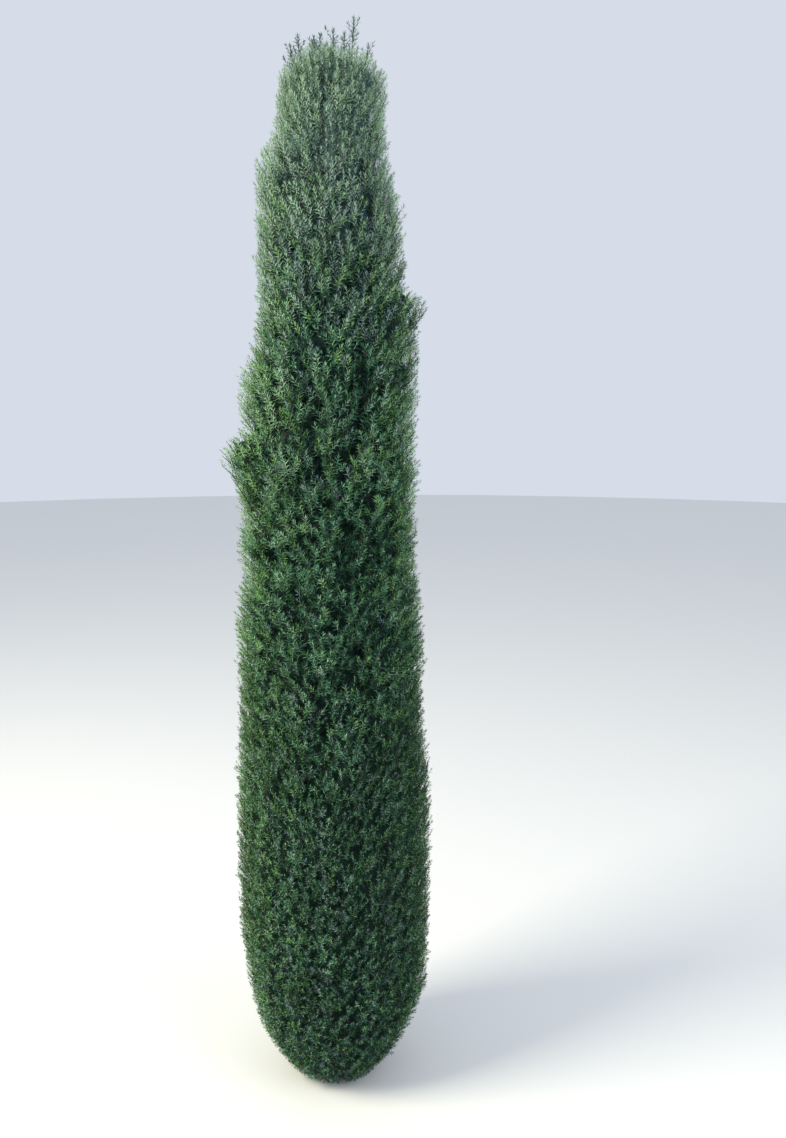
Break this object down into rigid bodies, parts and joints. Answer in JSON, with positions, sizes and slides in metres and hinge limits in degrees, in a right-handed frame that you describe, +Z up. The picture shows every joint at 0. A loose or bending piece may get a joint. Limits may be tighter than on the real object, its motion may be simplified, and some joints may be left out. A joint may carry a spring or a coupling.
{
  "type": "columnar juniper",
  "caption": "Slender columnar juniper: an upright trunk, steep short boughs and dense masses of needle sprays in one narrow evergreen column.",
  "frame": {"origin": "middle of the flat cut under the trunk, at ground level", "axes": "+Z up along the trunk, -Y towards the viewer, +X to the viewer's right"},
  "size_m": [0.4539, 0.4536, 2.35],
  "materials": {
    "bark": "fibrous grey-brown bark in peeling strips",
    "foliage": "awl-shaped needles, deep green with grey-blue glints and fresh yellow-green tips"
  },
  "bodies": {
    "root": {"trunk": "bark", "bough_tier1_side1": "bark", "bough_tier1_side2": "bark", "bough_tier1_side3": "bark", "bough_tier1_side4": "bark", "bough_tier1_side5": "bark", "bough_tier2_side1": "bark", "bough_tier2_side2": "bark", "bough_tier2_side3": "bark", "bough_tier2_side4": "bark", "bough_tier2_side5": "bark", "bough_tier3_side1": "bark", "bough_tier3_side2": "bark", "bough_tier3_side3": "bark", "bough_tier3_side4": "bark", "bough_tier3_side5": "bark", "bough_tier4_side1": "bark", "bough_tier4_side2": "bark", "bough_tier4_side3": "bark", "bough_tier4_side4": "bark", "bough_tier4_side5": "bark", "bough_tier5_side1": "bark", "bough_tier5_side2": "bark", "bough_tier5_side3": "bark", "bough_tier5_side4": "bark", "bough_tier5_side5": "bark", "foliage_tier1_side1": "foliage", "foliage_tier1_side2": "foliage", "foliage_tier1_side3": "foliage", "foliage_tier1_side4": "foliage", "foliage_tier1_side5": "foliage", "foliage_tier2_side1": "foliage", "foliage_tier2_side2": "foliage", "foliage_tier2_side3": "foliage", "foliage_tier2_side4": "foliage", "foliage_tier2_side5": "foliage", "foliage_tier3_side1": "foliage", "foliage_tier3_side2": "foliage", "foliage_tier3_side3": "foliage", "foliage_tier3_side4": "foliage", "foliage_tier3_side5": "foliage", "foliage_tier4_side1": "foliage", "foliage_tier4_side2": "foliage", "foliage_tier4_side3": "foliage", "foliage_tier4_side4": "foliage", "foliage_tier4_side5": "foliage", "foliage_tier5_side1": "foliage", "foliage_tier5_side2": "foliage", "foliage_tier5_side3": "foliage", "foliage_tier5_side4": "foliage", "foliage_tier5_side5": "foliage", "foliage_top": "foliage"}
  },
  "joints": []
}
